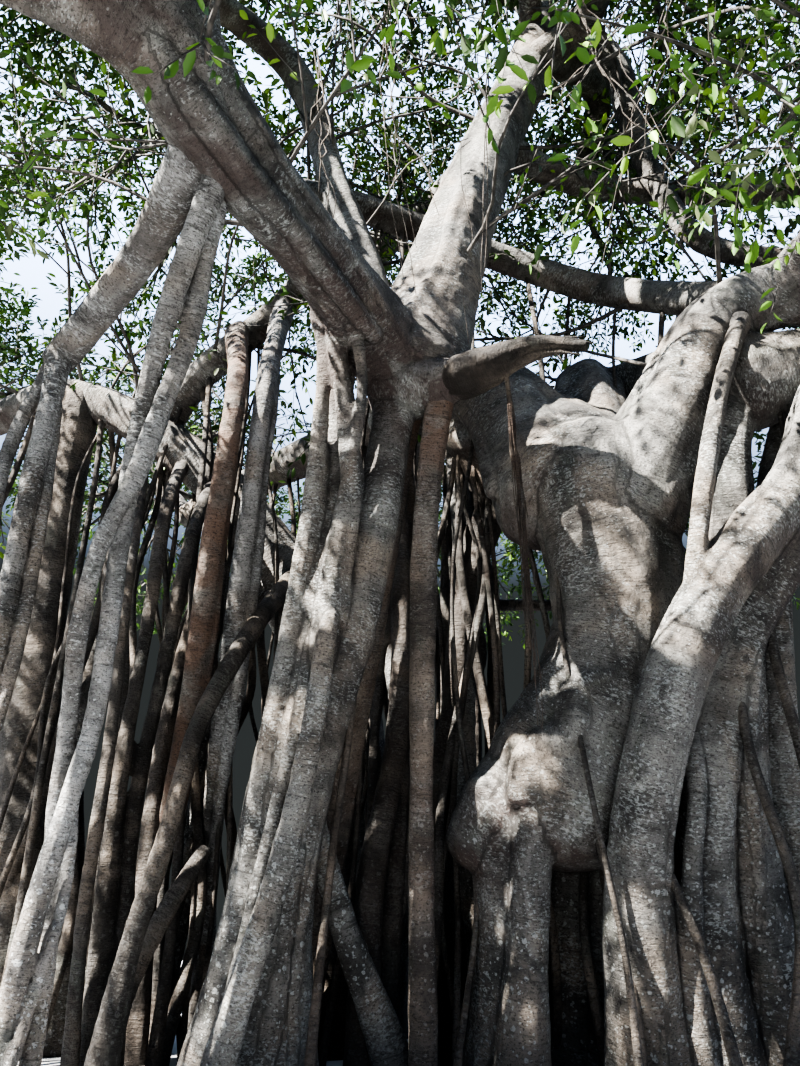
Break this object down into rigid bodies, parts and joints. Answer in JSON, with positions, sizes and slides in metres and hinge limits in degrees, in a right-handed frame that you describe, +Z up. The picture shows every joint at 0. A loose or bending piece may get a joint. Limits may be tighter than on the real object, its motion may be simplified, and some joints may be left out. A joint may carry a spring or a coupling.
{
  "type": "banyan tree",
  "caption": "Whole banyan tree with a leaning main trunk, a second trunk on stilt roots, spreading boughs, aerial roots grown into pillars and a broad leafy crown.",
  "frame": {"origin": "middle of the flat cut under the main trunk, at ground level", "axes": "+Z up from the ground; +Y away from the side that the picture was taken from; +X to the right in the picture"},
  "size_m": [25.6633, 27.1546, 19.8912],
  "materials": {
    "bark": "rough grey bark with pale patches",
    "aerial_root": "rough reddish-brown young bark",
    "dead_wood": "weathered broken wood",
    "foliage": "leathery, slightly glossy leaves"
  },
  "bodies": {
    "root": {"bough_back": "bark", "bough_back_left": "bark", "bough_back_middle": "bark", "bough_far_left": "bark", "bough_front": "bark", "bough_front_right": "bark", "bough_left": "bark", "bough_left_low": "bark", "bough_left_side": "bark", "bough_right": "bark", "bough_right_hub": "bark", "bough_up": "bark", "bough_up_back": "bark", "bough_up_front": "bark", "bough_up_left": "bark", "bough_up_low": "bark", "bough_up_right": "bark", "bough_up_side": "bark", "bridge_left": "bark", "bridge_right": "bark", "dead_stub": "dead_wood", "foliage_low_1": "foliage", "foliage_low_10": "foliage", "foliage_low_2": "foliage", "foliage_low_3": "foliage", "foliage_low_4": "foliage", "foliage_low_5": "foliage", "foliage_low_6": "foliage", "foliage_low_7": "foliage", "foliage_low_8": "foliage", "foliage_low_9": "foliage", "foliage_middle_1": "foliage", "foliage_middle_2": "foliage", "foliage_middle_3": "foliage", "foliage_middle_4": "foliage", "foliage_middle_5": "foliage", "foliage_middle_6": "foliage", "foliage_top_1": "foliage", "pillar_brown": "aerial_root", "pillar_centre": "aerial_root", "pillar_far_left": "bark", "pillar_grey": "bark", "pillar_left": "bark", "prop_back_1": "bark", "prop_back_2": "bark", "prop_back_left_1": "bark", "prop_back_left_2": "bark", "prop_back_left_3": "bark", "prop_far_left_1": "bark", "prop_far_left_2": "bark", "prop_far_left_3": "bark", "prop_left_side_1": "bark", "prop_right_hub_1": "bark", "root_diagonal": "aerial_root", "root_pole": "bark", "roots_right": "bark", "trunk_back": "bark", "trunk_main": "bark", "trunk_right": "bark"}
  },
  "joints": []
}
